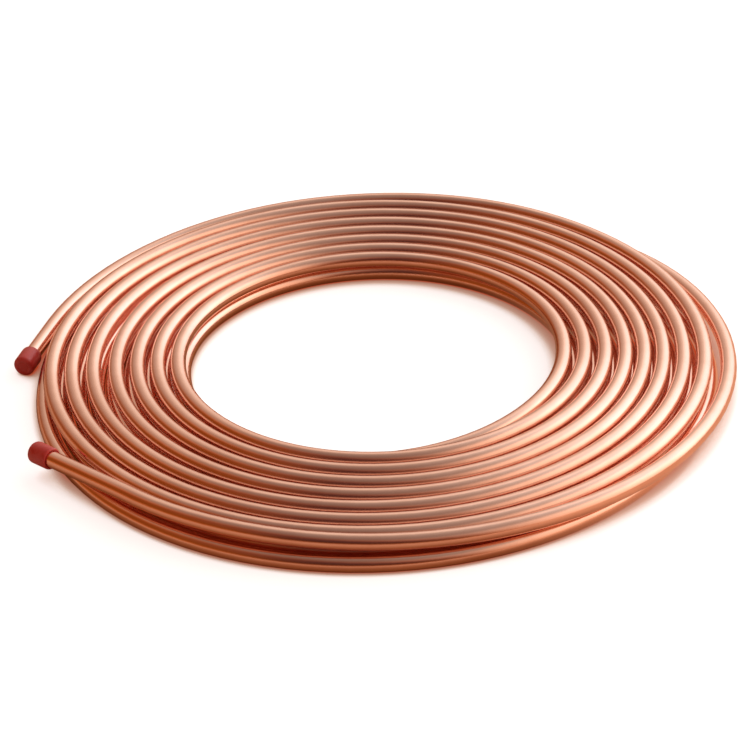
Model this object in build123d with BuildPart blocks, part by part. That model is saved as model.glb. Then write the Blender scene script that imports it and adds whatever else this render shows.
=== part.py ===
from build123d import *
import os
from math import cos, radians, sin, tan

# A coil of soft copper tube, wound flat in two layers, with a push-on cap on each end of the tube.
# It lies on the floor. Z is the coil's axis, the origin is on that axis at floor level, and both
# ends of the tube are on the -X side. The wound turns are one turned solid with the eye as its
# bore, and each turn is a ridge on its faces. The loose outermost turn and the two ends that lead
# away from the winding follow arcs, and the tube is round and open where its last stretch is straight.

# Tube
tube_od = 9.52
tube_wall = 0.8
bend_sides = 8              # flat sides round the section where the tube bends

# Wound turns, counted inwards from the outermost turn, which is the same size in both layers
winding_radius = 190.0      # outermost turn, to the middle of the tube
lower_count = 8
lower_gap = 1.88            # between one turn and the next
upper_count = 7
upper_gap = 2.38

# Loose outermost turn of the lower layer, off centre towards -Y
loose_extra = 0.4           # how much wider than the outermost turn it is
loose_shift = 12.8

# Back end, from where it goes straight back to where it joins the upper layer's outermost turn
back_straight = 36.0        # straight tube that shows beside the cap
back_angle = 163.8          # where the straight stretch starts, about Z
back_outset = 11.1          # how far out from the outermost turn it is there
back_widening = 4.5         # how much wider than that turn it bends
back_bend_size = 147.0
back_middle_drop = 1.2      # how far below the upper layer it is halfway
back_buried_drop = 1.8      # and at its buried end

# Front end, from where it goes straight back to where it joins the lower layer's outermost turn
front_straight = 58.0
front_angle = 228.0         # where the straight stretch starts, about Z
front_press = 0.3           # how far it is pressed into the outermost turn, which it lies against
front_lift = 2.1            # how far above the upper layer it is there
front_middle_drop = 1.0     # how far below the upper layer it is halfway
front_buried_rise = 1.8     # how far above the lower layer its buried end is
front_bend_size = 42.0      # the stretch that lies against the winding
swell_widening = 8.5        # then a wider bend that leads away from it
swell_bend_size = 80.0
dive_narrowing = 19.0       # then a tighter one that leads back under the upper layer
dive_bend_size = 93.5

# Caps
cap_wall = 1.5
cap_length = 14.5
cap_end = 2.0               # thickness of the closed end
cap_fit = 0.03              # gap between the tube and the cap's bore
cap_seat = 0.2              # gap between the tube's end and the closed end
cap_edge = 1.4              # chamfer round the closed end

tube_radius = tube_od / 2
lower_height = tube_radius
upper_height = lower_height + tube_od
lower_pitch = tube_od + lower_gap
upper_pitch = tube_od + upper_gap
lower_turns = [winding_radius - i * lower_pitch for i in range(lower_count)]
upper_turns = [winding_radius - i * upper_pitch for i in range(upper_count)]
front_radius = winding_radius + tube_od - front_press

# Each ridge has a flat crown, and its flanks run down to meet the next ridge's
flank_angle = 360 / bend_sides
crown_half = tube_radius * tan(radians(flank_angle / 2))

cap_bore_radius = tube_radius + cap_fit
cap_radius = cap_bore_radius + cap_wall
cap_grip = cap_length - cap_end - cap_seat     # tube inside the cap


def polar(radius, angle):
    """Plan point at a radius and an angle about Z."""
    return radius * cos(radians(angle)), radius * sin(radians(angle))


def ridges(turns, pitch, face, inwards):
    """Outline points across one layer's ridges, from the outside to the innermost crown."""
    side = face + inwards * (tube_radius - crown_half)
    valley = face + inwards * (pitch / 2 - crown_half) * tan(radians(flank_angle))
    points = [(turns[0] + tube_radius, side)]
    for radius in turns[:-1]:
        points.append((radius + crown_half, face))
        points.append((radius - crown_half, face))
        points.append((radius - pitch / 2, valley))
    points.append((turns[-1] + crown_half, face))
    return points


def eye_side(radius, height):
    """Outline points round the eye side of a layer's innermost turn, from the bottom up."""
    return [
        (radius - crown_half, height - tube_radius),
        (radius - tube_radius, height - crown_half),
        (radius - tube_radius, height + crown_half),
        (radius - crown_half, height + tube_radius),
    ]


def raised(point, height):
    """A plan point, given a height."""
    return Vector(point.X, point.Y, height)


def plane_through(point_a, point_b, point_c):
    """Plane through three points, counter-clockwise seen from above, with its origin on Z."""
    normal = (point_b - point_a).cross(point_c - point_a)
    return Plane(
        origin=(0, 0, point_a.dot(normal) / normal.Z),
        x_dir=(1, 0, -normal.X / normal.Z),
        z_dir=normal,
    )


def bent_section():
    """The tube's section where it bends, with flats at the tube's outside."""
    RegularPolygon(tube_radius, bend_sides, major_radius=False, rotation=flank_angle / 2)


# Wound turns
with BuildPart() as wound_turns:
    with BuildSketch(Plane.XZ):
        with BuildLine():
            Polyline(
                *ridges(lower_turns, lower_pitch, 0, 1),
                *eye_side(lower_turns[-1], lower_height),
                *eye_side(upper_turns[-1], upper_height),
                *reversed(ridges(upper_turns, upper_pitch, 2 * tube_od, -1)),
                close=True,
            )
        make_face()
    revolve(axis=Axis.Z)

# Loose outermost turn
with BuildPart() as loose_turn:
    with BuildSketch(Plane.XZ.offset(loose_shift)):
        with Locations((winding_radius + loose_extra, lower_height)):
            bent_section()
    revolve(axis=Axis((0, -loose_shift, 0), (0, 0, 1)))


def back_bend(plane):
    """The back end's arc, drawn on a plane from where the tube goes straight."""
    with BuildLine(plane) as bend:
        JernArc(
            start=polar(winding_radius + back_outset, back_angle),
            tangent=polar(1, back_angle - 90),
            radius=winding_radius + back_widening,
            arc_size=-back_bend_size,
        )
    return bend.wires()[0]


def front_bend(plane):
    """The front end's three arcs, drawn on a plane from where the tube goes straight."""
    with BuildLine(plane) as bend:
        beside = JernArc(
            start=polar(front_radius, front_angle),
            tangent=polar(1, front_angle + 90),
            radius=front_radius,
            arc_size=front_bend_size,
        )
        swell = JernArc(
            start=beside @ 1,
            tangent=beside % 1,
            radius=front_radius + swell_widening,
            arc_size=swell_bend_size,
        )
        JernArc(
            start=swell @ 1,
            tangent=swell % 1,
            radius=front_radius - dive_narrowing,
            arc_size=dive_bend_size,
        )
    return bend.wires()[0]


# Each end's bend lies on a sloping plane, which the back end follows down to lay its cap on the floor
back_plan = back_bend(Plane.XY)
cap_tip = back_plan @ 0 - (back_plan % 0) * (back_straight + cap_length)
back_path = back_bend(plane_through(
    raised(cap_tip, cap_radius),
    raised(back_plan @ 1, upper_height - back_buried_drop),
    raised(back_plan @ 0.5, upper_height - back_middle_drop),
))
front_plan = front_bend(Plane.XY)
front_path = front_bend(plane_through(
    raised(front_plan @ 0, upper_height + front_lift),
    raised(front_plan @ 0.5, upper_height - front_middle_drop),
    raised(front_plan @ 1, lower_height + front_buried_rise),
))


def across(path):
    """Plane across the start of a path, looking the other way."""
    return Plane(origin=path @ 0, x_dir=path.normal(), z_dir=-(path % 0))


def free_end(path, straight):
    """One end of the tube: its bend, then a straight stretch that is round and open."""
    with BuildPart() as end:
        with BuildSketch(across(path)):
            bent_section()
        sweep(path=path)
        with BuildSketch(across(path)):
            Circle(tube_radius)
            Circle(tube_radius - tube_wall, mode=Mode.SUBTRACT)
        extrude(amount=straight + cap_grip)
    return end.part


back_end = free_end(back_path, back_straight)
front_end = free_end(front_path, front_straight)

# One length of tube
with BuildPart() as copper_tube:
    add(wound_turns.part)
    add(loose_turn.part)
    add(back_end)
    add(front_end)
copper_tube.part.label = "copper_tube"


def end_cap(path, straight):
    """Push-on cap: a cup turned about the tube's last straight stretch."""
    mouth = across(path).offset(straight)
    with BuildPart() as cap:
        with BuildSketch(mouth):
            Circle(cap_radius)
        extrude(amount=cap_length)
        chamfer(cap.faces().sort_by(Axis(mouth.origin, mouth.z_dir))[-1].edges(), cap_edge)
        with BuildSketch(mouth):
            Circle(cap_bore_radius)
        extrude(amount=cap_length - cap_end, mode=Mode.SUBTRACT)
    return cap


back_end_cap = end_cap(back_path, back_straight)
back_end_cap.part.label = "back_end_cap"
front_end_cap = end_cap(front_path, front_straight)
front_end_cap.part.label = "front_end_cap"

os.makedirs("parts", exist_ok=True)
export_step(copper_tube.part, "parts/copper_tube.step")
export_step(back_end_cap.part, "parts/back_end_cap.step")
export_step(front_end_cap.part, "parts/front_end_cap.step")
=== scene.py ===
import math

import bmesh
import bpy
from mathutils import Matrix, Vector


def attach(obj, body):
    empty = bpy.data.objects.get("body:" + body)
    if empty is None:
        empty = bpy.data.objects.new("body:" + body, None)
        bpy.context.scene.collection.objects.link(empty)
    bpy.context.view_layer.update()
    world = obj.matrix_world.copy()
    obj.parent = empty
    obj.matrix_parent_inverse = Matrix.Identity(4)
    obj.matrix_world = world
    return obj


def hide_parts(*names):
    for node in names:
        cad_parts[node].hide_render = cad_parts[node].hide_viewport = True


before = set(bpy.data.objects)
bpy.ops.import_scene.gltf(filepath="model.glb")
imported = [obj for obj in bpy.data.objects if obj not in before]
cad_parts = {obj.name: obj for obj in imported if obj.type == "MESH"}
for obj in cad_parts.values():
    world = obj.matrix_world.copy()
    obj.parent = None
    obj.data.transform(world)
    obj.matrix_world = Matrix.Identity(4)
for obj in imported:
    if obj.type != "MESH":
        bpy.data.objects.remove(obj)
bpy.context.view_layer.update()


# Camera

view = {
    "elevation": 30.745,      # degrees above the floor, looking along +Y
    "distance": 1.496,        # to the middle of the coil's eye
    "lens": 121.94,
    "roll": -1.91,            # degrees about the line of sight
    "shift": (0.0023, -0.0048),
    "clip": (0.05, 40),       # nearest and farthest that it sees
}


def makeCamera():
    data = bpy.data.cameras.new("camera")
    data.lens = view["lens"]
    data.shift_x, data.shift_y = view["shift"]
    data.clip_start, data.clip_end = view["clip"]
    camera = bpy.data.objects.new("camera", data)
    tilt = math.radians(view["elevation"])
    camera.location = view["distance"] * Vector((0, -math.cos(tilt), math.sin(tilt)))
    aim = (-camera.location).to_track_quat("-Z", "Y").to_matrix()
    roll = Matrix.Rotation(math.radians(view["roll"]), 3, "Z")
    camera.rotation_euler = (aim @ roll).to_euler()
    bpy.context.scene.collection.objects.link(camera)
    bpy.context.scene.camera = camera


makeCamera()
print("camera set")


# The tube's route, in tube diameters and degrees, from the back end to the front end.
# It winds clockwise seen from above, and 'turned' counts from the middle of the back.

tube = {
    "diameter": 0.00952,
    "wall": 0.0008,
    "sides": 28,
    "stepsPerTurn": 112,
    "stepsPerStraight": 12,
    "boreDepth": 0.04,        # how far the open ends are hollow
    "inCap": 0.0123,          # how far each end reaches into its cap
    "mergeWithin": 1e-6,      # for the caps too
}
winding = {
    "startRadius": 20.615,    # upper layer at the back, first turn
    "upperPitch": 1.25,
    "upperHeight": 1.5,
    "lowerStartRadius": 11.74,
    "lowerPitch": 1.0525,
    "lowerHeight": 0.5,
    "swellTurns": 7.75,       # lower turns over which the swell grows to its full size
    "leaveBack": -73.8,       # where the back end goes straight
    "evenStart": 90.0,        # where the upper layer becomes an even spiral
    "duckStart": 2610.0,      # where the inmost upper turn starts to duck under
    "lowerStart": 2790.0,
    "riseStart": 5670.0,      # where the outermost lower turn starts to leave the layer
    "leaveFront": 5983.0,     # where the front end goes straight
    "backStraight": 3.78,     # straight tube beside each cap
    "frontStraight": 6.1,
    "backFall": -0.018,       # how much each end falls along its straight
    "frontFall": -0.045,
}
# Pairs of degrees turned and a value there
backRadius = (
    (-73.8, 21.05), (-50, 20.92), (-30, 20.82), (0, 20.60), (30, 20.50), (60, 20.41), (90, 20.30),
)
backHeight = (
    (-73.8, 0.76), (-50, 0.98), (-30, 1.15), (-15, 1.28), (0, 1.38), (15, 1.46), (30, 1.5),
    (60, 1.5),
)
innerShift = ((0, 0.0), (900, 0.0), (1500, 0.2), (2610, 0.2))
duckRadius = (
    (2610, 11.75), (2640, 11.68), (2670, 11.6), (2700, 11.58), (2745, 11.62), (2790, 11.74),
)
duckHeight = ((2610, 1.5), (2640, 1.38), (2670, 1.12), (2700, 0.86), (2740, 0.62), (2790, 0.5))
# How far the outermost lower turn swells beyond an even spiral, by degrees turned past the back
lowerSwell = (
    (0, -0.40), (45, 0.25), (90, 0.94), (120, 1.05), (150, 1.30), (180, 1.44),
    (210, 1.24), (240, 0.66), (270, -0.06), (300, -0.26), (330, -0.36), (360, -0.40),
)
riseRadius = (
    (5670, 20.1), (5700, 19.97), (5730, 19.96), (5760, 20.07), (5775, 20.27), (5790, 20.5),
    (5805, 20.95), (5815, 21.3), (5832, 21.6), (5850, 21.74), (5868, 21.69), (5895, 21.45),
    (5920, 21.14), (5940, 20.98), (5960, 20.92), (5983, 20.92),
)
riseHeight = (
    (5670, 0.5), (5790, 0.5), (5805, 0.6), (5815, 0.8), (5832, 1.0), (5850, 1.15), (5868, 1.3),
    (5900, 1.5), (5940, 1.66), (5960, 1.74), (5983, 1.72),
)


def valueAt(pairs, at):
    # A smooth curve through the pairs, level beyond both ends
    if at <= pairs[0][0]:
        return pairs[0][1]
    if at >= pairs[-1][0]:
        return pairs[-1][1]
    i = max(k for k in range(len(pairs) - 1) if pairs[k][0] <= at)

    def slope(k):
        low, high = max(k - 1, 0), min(k + 1, len(pairs) - 1)
        return (pairs[high][1] - pairs[low][1]) / (pairs[high][0] - pairs[low][0])

    span = pairs[i + 1][0] - pairs[i][0]
    t = (at - pairs[i][0]) / span
    ends = (2 * t**3 - 3 * t**2 + 1) * pairs[i][1] + (3 * t**2 - 2 * t**3) * pairs[i + 1][1]
    return ends + span * ((t**3 - 2 * t**2 + t) * slope(i) + (t**3 - t**2) * slope(i + 1))


def routePoint(turned):
    angle = math.radians(90 - turned)
    if turned < winding["evenStart"]:
        radius = valueAt(backRadius, turned)
        height = valueAt(backHeight, turned)
    elif turned < winding["duckStart"]:
        radius = winding["startRadius"] - winding["upperPitch"] * turned / 360
        radius += valueAt(innerShift, turned) * math.cos(angle)
        height = winding["upperHeight"]
    elif turned < winding["lowerStart"]:
        radius = valueAt(duckRadius, turned)
        height = valueAt(duckHeight, turned)
    elif turned < winding["riseStart"]:
        turns = (turned - winding["lowerStart"]) / 360
        radius = winding["lowerStartRadius"] + winding["lowerPitch"] * turns
        radius += valueAt(lowerSwell, turned % 360) * turns / winding["swellTurns"]
        height = winding["lowerHeight"]
    else:
        radius = valueAt(riseRadius, turned)
        height = max(valueAt(riseHeight, turned), winding["lowerHeight"])
    return Vector((radius * math.cos(angle), radius * math.sin(angle), height)) * tube["diameter"]


def straightEnd(turned, way, length, fall):
    # Points from the last bend out to the tube's end, along the winding's tangent there
    start = routePoint(turned)
    angle = math.radians(90 - turned)
    along = Vector((math.sin(angle), -math.cos(angle), 0)) * way
    along.z = fall
    along.normalize()
    reach = length * tube["diameter"] + tube["inCap"]
    count = tube["stepsPerStraight"]
    return [start + along * reach * k / count for k in range(1, count + 1)], along


def makeRoute():
    first, last = winding["leaveBack"], winding["leaveFront"]
    count = round((last - first) / 360 * tube["stepsPerTurn"])
    bend = [routePoint(first + (last - first) * k / count) for k in range(count + 1)]
    backEnd, backWay = straightEnd(first, -1, winding["backStraight"], winding["backFall"])
    frontEnd, frontWay = straightEnd(last, 1, winding["frontStraight"], winding["frontFall"])
    return backEnd[::-1] + bend + frontEnd, backWay, frontWay


route, backWay, frontWay = makeRoute()
routeLength = sum((b - a).length for a, b in zip(route, route[1:]))
print("route", len(route), "points,", round(routeLength, 2), "m long")


# Copper tube

def addPiece(name, mesh, material, *nodes):
    piece = bpy.data.objects.new(name, mesh)
    bpy.context.scene.collection.objects.link(piece)
    mesh.materials.clear()
    mesh.materials.append(material)
    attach(piece, "root")
    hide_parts(*nodes)
    return piece


def openEnd(bm, tip, way):
    # Turn the flat end into the tube's open mouth, with its wall and the start of its bore
    fan = [
        f for f in bm.faces
        if len(f.verts) == 3 and (f.calc_center_median() - tip).length < tube["diameter"]
    ]
    end = bmesh.ops.dissolve_faces(bm, faces=fan)["region"]
    wall = bmesh.ops.inset_region(bm, faces=end, thickness=tube["wall"])["faces"]
    for face in wall + end:
        face.smooth = False
    deep = bmesh.ops.extrude_face_region(bm, geom=end)["geom"]
    inner = [v for v in deep if isinstance(v, bmesh.types.BMVert)]
    bmesh.ops.translate(bm, verts=inner, vec=-way * tube["boreDepth"])
    bmesh.ops.delete(bm, geom=[f for f in end if f.is_valid], context="FACES_ONLY")


def curveMesh():
    # A round tube along the route, with flat ends
    curve = bpy.data.curves.new("tubeCurve", "CURVE")
    curve.dimensions = "3D"
    curve.twist_mode = "Z_UP"
    curve.bevel_depth = tube["diameter"] / 2
    curve.bevel_resolution = tube["sides"] // 4 - 1
    curve.use_fill_caps = True
    spline = curve.splines.new("POLY")
    spline.points.add(len(route) - 1)
    for point, place in zip(spline.points, route):
        point.co = (*place, 1)
    holder = bpy.data.objects.new("tubeCurve", curve)
    bpy.context.scene.collection.objects.link(holder)
    bpy.context.view_layer.update()
    depsgraph = bpy.context.evaluated_depsgraph_get()
    mesh = bpy.data.meshes.new_from_object(holder.evaluated_get(depsgraph))
    bpy.data.objects.remove(holder)
    return mesh


def makeTube(material):
    mesh = curveMesh()
    bm = bmesh.new()
    bm.from_mesh(mesh)
    bmesh.ops.remove_doubles(bm, verts=bm.verts, dist=tube["mergeWithin"])
    for face in bm.faces:
        face.smooth = True
    openEnd(bm, route[0], backWay)
    openEnd(bm, route[-1], frontWay)
    bmesh.ops.recalc_face_normals(bm, faces=bm.faces)
    bm.to_mesh(mesh)
    bm.free()
    piece = addPiece("copperTube", mesh, material, "copper_tube")
    print("tube made,", len(mesh.polygons), "faces")


# Caps

cap = {
    "radius": 0.0063,
    "length": 0.0145,
    "end": 0.002,             # thickness of the closed end
    "fit": 0.00003,           # gap between the tube and the cap's bore
    "shoulder": 0.0021,       # rounding at the closed end
    "shoulderSteps": (22, 45, 68, 90),
    "recess": 0.0005,         # how deep the closed end lies inside its rim
    "recessRadius": 0.0033,
    # Small roundings, each as distances sideways and lengthways from the sharp corner
    "recessEdge": ((-0.0002, 0.0), (0.0, 0.0001), (0.0003, 0.00045)),
    "lip": ((0.0, 0.0012), (0.0002, 0.0004), (0.0006, 0.0)),
    "boreMouth": (0.0003, 0.0004),
    "boreEnd": (0.0005, 0.0004),
    "stepsRound": 48,
}


def capProfile():
    # Radius and height, from the middle of the closed end, outside and round into the bore
    outer, length, shoulder = cap["radius"], cap["length"], cap["shoulder"]
    bore = tube["diameter"] / 2 + cap["fit"]
    recessed, closed = length - cap["recess"], length - cap["end"]
    mouthOut, mouthUp = cap["boreMouth"]
    endIn, endDown = cap["boreEnd"]
    profile = [(0.0, recessed)]
    profile += [(cap["recessRadius"] + out, recessed + up) for out, up in cap["recessEdge"]]
    profile += [(outer - shoulder, length)]
    for angle in map(math.radians, cap["shoulderSteps"]):
        profile += [(
            outer - shoulder + shoulder * math.sin(angle),
            length - shoulder + shoulder * math.cos(angle),
        )]
    profile += [(outer, length / 2)] + [(outer - inwards, up) for inwards, up in cap["lip"]]
    profile += [(bore + mouthOut, 0.0), (bore, mouthUp), (bore, closed - endDown)]
    return profile + [(bore - endIn, closed), (0.0, closed)]


def makeCap(name, tip, way, material, node):
    # Turned about Z with its closed end up, then laid along the tube
    bm = bmesh.new()
    verts = [bm.verts.new((x, 0, z)) for x, z in capProfile()]
    edges = [bm.edges.new(pair) for pair in zip(verts, verts[1:])]
    bmesh.ops.spin(
        bm, geom=verts + edges, axis=(0, 0, 1), cent=(0, 0, 0),
        angle=math.tau, steps=cap["stepsRound"], use_merge=True,
    )
    bmesh.ops.remove_doubles(bm, verts=bm.verts, dist=tube["mergeWithin"])
    bmesh.ops.recalc_face_normals(bm, faces=bm.faces)
    for face in bm.faces:
        face.smooth = True
    turn = way.to_track_quat("Z", "Y").to_matrix().to_4x4()
    mouth = tip - way * tube["inCap"]
    bmesh.ops.transform(bm, matrix=Matrix.Translation(mouth) @ turn, verts=bm.verts)
    mesh = bpy.data.meshes.new(name)
    bm.to_mesh(mesh)
    bm.free()
    piece = addPiece(name, mesh, material, node)


# Materials

copperLook = {
    "colour": (0.95, 0.61, 0.49, 1),
    "tarnish": (0.84, 0.50, 0.38, 1),
    "drawnLine": (0.80, 0.46, 0.35, 1),
    "tarnishAmount": 0.55,
    "drawnLineAmount": 0.35,
    "roughness": (0.145, 0.215),
    "patchScale": 26.0,       # per metre, as the grain's scale is
    "grainScale": 1500.0,
    "grainRelief": 0.15,      # beside the drawn lines' relief
    "linesAround": 15.0,
    "lineLength": 0.055,      # metres
    "lineDetail": 3,
    "bump": 0.14,
    "bumpHeight": 0.00007,
}
capLook = {
    "colour": (0.60, 0.040, 0.034, 1),
    "scuff": (0.68, 0.110, 0.100, 1),
    "scuffAmount": 0.5,
    "specular": 0.55,
    "roughness": (0.32, 0.48),
    "patchScale": 190.0,
    "grainScale": 2600.0,
    "bump": 0.30,
    "bumpHeight": 0.00009,
}
wearLook = {
    "patchDetail": 4,
    "grainDetail": 2,
    "noiseRoughness": 0.6,
    "patchEdges": (0.38, 0.66),    # noise values between which a patch fades in
}


def newMaterial(name):
    material = bpy.data.materials.new(name)
    material.use_nodes = True
    nodes, links = material.node_tree.nodes, material.node_tree.links
    return material, nodes, links, nodes["Principled BSDF"]


def give(links, value, socket):
    # A node's output is linked, and a plain value is set
    if isinstance(value, bpy.types.NodeSocket):
        links.new(value, socket)
    else:
        socket.default_value = value


def mathNode(nodes, links, operation, first, *second):
    node = nodes.new("ShaderNodeMath")
    node.operation = operation
    for value, socket in zip((first, *second), node.inputs):
        give(links, value, socket)
    return node.outputs[0]


def vectorNode(nodes, links, operation, first, *second):
    node = nodes.new("ShaderNodeVectorMath")
    node.operation = operation
    for value, socket in zip((first, *second), node.inputs):
        give(links, value, socket)
    return node.outputs["Value"]


def mixColour(nodes, links, amount, first, second, blend="MIX"):
    node = nodes.new("ShaderNodeMix")
    node.data_type = "RGBA"
    node.blend_type = blend
    give(links, amount, node.inputs["Factor"])
    give(links, first, node.inputs["A"])
    give(links, second, node.inputs["B"])
    return node.outputs["Result"]


def rangeNode(nodes, links, value, start, whole, kind="SMOOTHSTEP", low=0.0, high=1.0):
    node = nodes.new("ShaderNodeMapRange")
    node.interpolation_type = kind
    node.inputs["From Min"].default_value = start
    node.inputs["From Max"].default_value = whole
    node.inputs["To Min"].default_value = low
    node.inputs["To Max"].default_value = high
    links.new(value, node.inputs["Value"])
    return node.outputs["Result"]


def rampNode(nodes, links, value, stops):
    # Stops are pairs of a position and a colour, or a brightness
    node = nodes.new("ShaderNodeValToRGB")
    elements = node.color_ramp.elements
    while len(elements) < len(stops):
        elements.new(0.5)
    for element, (position, colour) in zip(elements, stops):
        element.position = position
        element.color = colour if isinstance(colour, tuple) else (colour, colour, colour, 1)
    links.new(value, node.inputs["Fac"])
    return node.outputs["Color"]


def makeSurfaceWear():
    # Patches where handling shows, and a fine grain, both over the whole surface
    group = bpy.data.node_groups.new("surfaceWear", "ShaderNodeTree")
    for name, direction, kind in (
        ("Vector", "INPUT", "NodeSocketVector"),
        ("Patch Scale", "INPUT", "NodeSocketFloat"),
        ("Grain Scale", "INPUT", "NodeSocketFloat"),
        ("Patch", "OUTPUT", "NodeSocketFloat"),
        ("Grain", "OUTPUT", "NodeSocketFloat"),
    ):
        group.interface.new_socket(name=name, in_out=direction, socket_type=kind)
    nodes, links = group.nodes, group.links
    given, result = nodes.new("NodeGroupInput"), nodes.new("NodeGroupOutput")
    noises = []
    for scale, detail in (("Patch Scale", "patchDetail"), ("Grain Scale", "grainDetail")):
        noise = nodes.new("ShaderNodeTexNoise")
        noise.inputs["Detail"].default_value = wearLook[detail]
        noise.inputs["Roughness"].default_value = wearLook["noiseRoughness"]
        links.new(given.outputs["Vector"], noise.inputs["Vector"])
        links.new(given.outputs[scale], noise.inputs["Scale"])
        noises.append(noise.outputs["Fac"])
    patch = rangeNode(nodes, links, noises[0], *wearLook["patchEdges"])
    links.new(patch, result.inputs["Patch"])
    links.new(noises[1], result.inputs["Grain"])
    return group


surfaceWear = makeSurfaceWear()


def addWear(nodes, links, look):
    place = nodes.new("ShaderNodeTexCoord")
    wear = nodes.new("ShaderNodeGroup")
    wear.node_tree = surfaceWear
    wear.inputs["Patch Scale"].default_value = look["patchScale"]
    wear.inputs["Grain Scale"].default_value = look["grainScale"]
    links.new(place.outputs["Object"], wear.inputs["Vector"])
    return wear.outputs["Patch"], wear.outputs["Grain"]


def addGloss(nodes, links, worn, look, shader):
    roughness = rangeNode(nodes, links, worn, 0, 1, "LINEAR", *look["roughness"])
    links.new(roughness, shader.inputs["Roughness"])


def addBump(nodes, links, height, look, shader):
    bump = nodes.new("ShaderNodeBump")
    bump.inputs["Strength"].default_value = look["bump"]
    bump.inputs["Distance"].default_value = look["bumpHeight"]
    links.new(height, bump.inputs["Height"])
    links.new(bump.outputs["Normal"], shader.inputs["Normal"])


def drawnLines(nodes, links, length, look):
    # Faint lines that run along the tube, from its own map, with no seam round it
    tubeMap = nodes.new("ShaderNodeUVMap")
    tubeMap.uv_map = "UVMap"
    parts = nodes.new("ShaderNodeSeparateXYZ")
    links.new(tubeMap.outputs["UV"], parts.inputs[0])
    turn = mathNode(nodes, links, "MULTIPLY", parts.outputs["X"], math.tau)
    stretch = length / look["lineLength"] / look["linesAround"]
    place = nodes.new("ShaderNodeCombineXYZ")
    links.new(mathNode(nodes, links, "COSINE", turn), place.inputs["X"])
    links.new(mathNode(nodes, links, "SINE", turn), place.inputs["Y"])
    links.new(mathNode(nodes, links, "MULTIPLY", parts.outputs["Y"], stretch), place.inputs["Z"])
    lines = nodes.new("ShaderNodeTexNoise")
    lines.inputs["Scale"].default_value = look["linesAround"]
    lines.inputs["Detail"].default_value = look["lineDetail"]
    links.new(place.outputs[0], lines.inputs["Vector"])
    return lines.outputs["Fac"]


def copperMaterial(length):
    look = copperLook
    material, nodes, links, shader = newMaterial("copper")
    patch, grain = addWear(nodes, links, look)
    lines = drawnLines(nodes, links, length, look)
    tarnished = mathNode(nodes, links, "MULTIPLY", patch, look["tarnishAmount"])
    lined = mathNode(nodes, links, "MULTIPLY", lines, look["drawnLineAmount"])
    colour = mixColour(nodes, links, tarnished, look["colour"], look["tarnish"])
    colour = mixColour(nodes, links, lined, colour, look["drawnLine"])
    links.new(colour, shader.inputs["Base Color"])
    shader.inputs["Metallic"].default_value = 1
    both = mathNode(nodes, links, "ADD", patch, lines)
    addGloss(nodes, links, mathNode(nodes, links, "MULTIPLY", both, 0.5), look, shader)
    grained = mathNode(nodes, links, "MULTIPLY", grain, look["grainRelief"])
    addBump(nodes, links, mathNode(nodes, links, "ADD", lines, grained), look, shader)
    return material


def capMaterial():
    look = capLook
    material, nodes, links, shader = newMaterial("capPlastic")
    patch, grain = addWear(nodes, links, look)
    scuffed = mathNode(nodes, links, "MULTIPLY", patch, look["scuffAmount"])
    colour = mixColour(nodes, links, scuffed, look["colour"], look["scuff"])
    links.new(colour, shader.inputs["Base Color"])
    shader.inputs["Specular IOR Level"].default_value = look["specular"]
    addGloss(nodes, links, patch, look, shader)
    addBump(nodes, links, grain, look, shader)
    return material


copper = copperMaterial(routeLength)
capPlastic = capMaterial()
makeTube(copper)
makeCap("backEndCap", route[0], backWay, capPlastic, "back_end_cap")
makeCap("frontEndCap", route[-1], frontWay, capPlastic, "front_end_cap")
print("caps made")


# Floor

floorLook = {
    "half": 6.0,              # metres
    "colour": (0.80, 0.80, 0.80, 1),
    "roughness": 0.9,
    "glow": 0.76,             # seen by the camera and in the metal, but it lights nothing
    "reach": 0.05,            # how near the coil the floor takes on its painted shadow, in metres
    # Painted shadow: the floor is darkened and tinted by how open it is to the sky, as the camera
    # sees it and as the metal does
    "paintedShadow": (
        (0.06, (0.50, 0.060, 0.018, 1)), (0.18, (0.45, 0.22, 0.15, 1)),
        (0.34, (0.56, 0.36, 0.28, 1)), (0.47, (0.79, 0.67, 0.60, 1)), (0.61, (1, 1, 1, 1)),
    ),
    "paintedShadowInMetal": (
        (0.3, (0.13, 0.040, 0.012, 1)), (0.70, (0.24, 0.095, 0.040, 1)),
        (0.86, (0.34, 0.165, 0.090, 1)), (1.0, (0.45, 0.25, 0.160, 1)),
    ),
    # Painted shade under the coil: how much of that openness counts, by distance from the coil's
    # middle in metres, which darkens the floor beneath the ring of turns
    "paintedShadeUnderCoil": ((0.104, 1.0), (0.112, 0.62), (0.196, 0.62), (0.206, 1.0)),
    # Painted light: the floor's right side, nearer the light, is painted brighter as the metal
    # sees it
    "litInMetal": (0.62, 0.36, 0.23, 1),
    "litSide": (0.05, 0.19),
}


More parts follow.
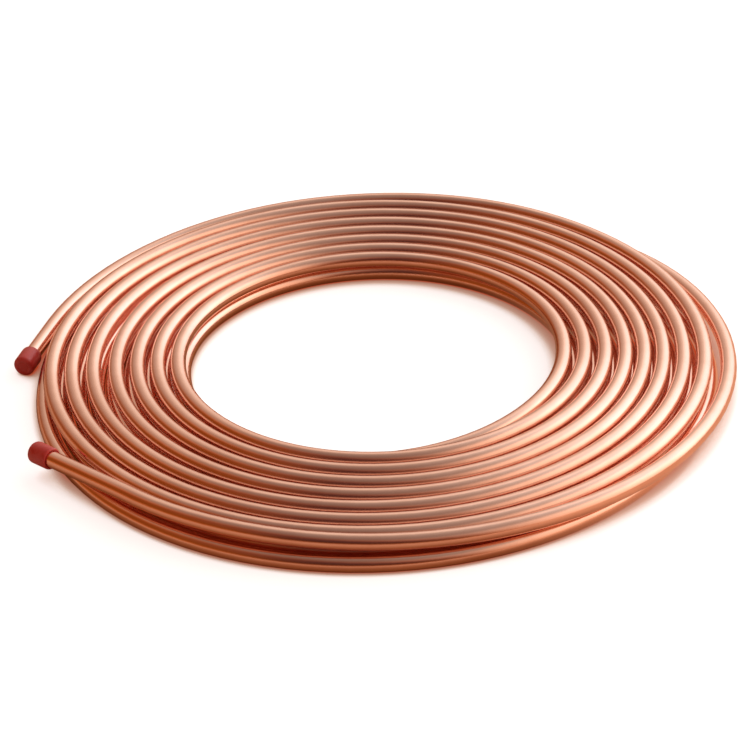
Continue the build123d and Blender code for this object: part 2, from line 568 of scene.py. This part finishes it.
def makeFloor():
    look = floorLook
    material, nodes, links, shader = newMaterial("floor")
    shader.inputs["Roughness"].default_value = look["roughness"]
    shader.inputs["Specular IOR Level"].default_value = 0.0
    path = nodes.new("ShaderNodeLightPath")
    inMetal = path.outputs["Is Glossy Ray"]
    seen = mathNode(nodes, links, "ADD", path.outputs["Is Camera Ray"], inMetal)
    glow = mathNode(nodes, links, "MULTIPLY", seen, look["glow"])
    place = nodes.new("ShaderNodeTexCoord").outputs["Object"]
    sides = nodes.new("ShaderNodeSeparateXYZ")
    links.new(place, sides.inputs[0])
    shade = nodes.new("ShaderNodeAmbientOcclusion")
    shade.inputs["Distance"].default_value = look["reach"]
    fromMiddle = vectorNode(nodes, links, "LENGTH", place)
    # Painted shade: the floor under the coil's ring counts as less open, so it is painted darker
    shadeUnderCoil = rampNode(nodes, links, fromMiddle, look["paintedShadeUnderCoil"])
    openness = mathNode(nodes, links, "MULTIPLY", shade.outputs["AO"], shadeUnderCoil)
    # Painted contact shadow: the floor's glow and colour turn dark and red where the coil shuts
    # out the sky
    paintedShadow = rampNode(nodes, links, openness, look["paintedShadow"])
    paintedShadeAndLightInMetal = rampNode(nodes, links, openness, look["paintedShadowInMetal"])
    # Painted light on the floor's right side, seen only in the metal
    lit = rangeNode(nodes, links, sides.outputs["X"], *look["litSide"])
    paintedShadeAndLightInMetal = mixColour(nodes, links, lit, paintedShadeAndLightInMetal, look["litInMetal"])
    # The painted shadow tints both the floor's glow and its colour
    paintedShadeAndLight = mixColour(nodes, links, inMetal, paintedShadow, paintedShadeAndLightInMetal)
    colour = mixColour(nodes, links, 1.0, look["colour"], paintedShadeAndLight, "MULTIPLY")
    links.new(glow, shader.inputs["Emission Strength"])
    links.new(paintedShadeAndLight, shader.inputs["Emission Color"])
    links.new(colour, shader.inputs["Base Color"])
    bm = bmesh.new()
    bmesh.ops.create_grid(bm, x_segments=1, y_segments=1, size=look["half"])
    mesh = bpy.data.meshes.new("floor")
    bm.to_mesh(mesh)
    bm.free()
    mesh.materials.append(material)
    floor = bpy.data.objects.new("floor", mesh)
    bpy.context.scene.collection.objects.link(floor)


# Light, from the world alone

skyLook = {
    "bounces": 18,            # light passes many times between the turns
    "strength": 3.1,
    "key": (0.667, 0.554, 0.5),
    # Colour from straight away from the key, 0, to straight at it, 1
    "sky": (
        (0.0, (0.020, 0.0052, 0.0016, 1)), (0.38, (0.030, 0.0075, 0.0022, 1)),
        (0.455, (0.070, 0.020, 0.0075, 1)), (0.525, (0.123, 0.056, 0.032, 1)),
        (0.60, (0.144, 0.089, 0.065, 1)), (0.725, (0.190, 0.142, 0.116, 1)),
        (0.80, (0.232, 0.184, 0.154, 1)), (0.875, (0.300, 0.258, 0.226, 1)),
        (0.94, (0.415, 0.395, 0.378, 1)), (0.97, (0.470, 0.465, 0.470, 1)),
        (1.0, (0.500, 0.515, 0.560, 1)),
    ),
    # Brightness by height, from the rim to straight up
    "zenith": ((0.70, 1.0), (0.89, 0.60), (1.0, 0.52)),
    "rimColour": (0.115, 0.039, 0.0142, 1),
    "rim": (0.06, 0.26),      # heights between which the dark rim gives way to the sky
    "rimGap": (0.74, 1.3),    # how near the key the rim starts to drop, and how fast
    # Soft cards: the way to each, its colour, and the facing where it starts and is whole
    "cards": (
        ((-0.925, -0.163, 0.342), (0.055, 0.014, 0.001, 1), (0.55, 0.95)),
        ((0.0, -0.450, 0.893), (0.001, 0.005, 0.009, 1), (0.45, 1.0)),
        ((0.960, -0.170, 0.220), (0.200, 0.135, 0.095, 1), (0.55, 0.95)),
    ),
}


def makeWorld():
    look = skyLook
    world = bpy.data.worlds.new("world")
    world.use_nodes = True
    nodes, links = world.node_tree.nodes, world.node_tree.links
    way = nodes.new("ShaderNodeTexCoord").outputs["Generated"]
    parts = nodes.new("ShaderNodeSeparateXYZ")
    links.new(way, parts.inputs[0])
    height = parts.outputs["Z"]
    facing = vectorNode(nodes, links, "DOT_PRODUCT", way, look["key"])
    nearKey = rangeNode(nodes, links, facing, -1, 1, "LINEAR")
    sky = rampNode(nodes, links, nearKey, look["sky"])
    zenith = rampNode(nodes, links, height, look["zenith"])
    sky = mixColour(nodes, links, 1.0, sky, zenith, "MULTIPLY")
    gapStart, gapRate = look["rimGap"]
    gap = mathNode(nodes, links, "SUBTRACT", nearKey, gapStart)
    gap = mathNode(nodes, links, "MAXIMUM", gap, 0)
    lift = mathNode(nodes, links, "MULTIPLY", gap, gapRate)
    lifted = mathNode(nodes, links, "ADD", height, lift)
    aboveRim = rangeNode(nodes, links, lifted, *look["rim"])
    sky = mixColour(nodes, links, aboveRim, look["rimColour"], sky)
    for cardWay, colour, edges in look["cards"]:
        facing = vectorNode(nodes, links, "DOT_PRODUCT", way, cardWay)
        card = rangeNode(nodes, links, facing, *edges)
        sky = mixColour(nodes, links, card, sky, colour, "ADD")
    background = nodes["Background"]
    background.inputs["Strength"].default_value = look["strength"]
    links.new(sky, background.inputs["Color"])
    bpy.context.scene.world = world


makeFloor()
makeWorld()
scene = bpy.context.scene
scene.view_settings.view_transform = "Standard"
scene.cycles.max_bounces = skyLook["bounces"]
scene.cycles.glossy_bounces = skyLook["bounces"]
print("studio made")
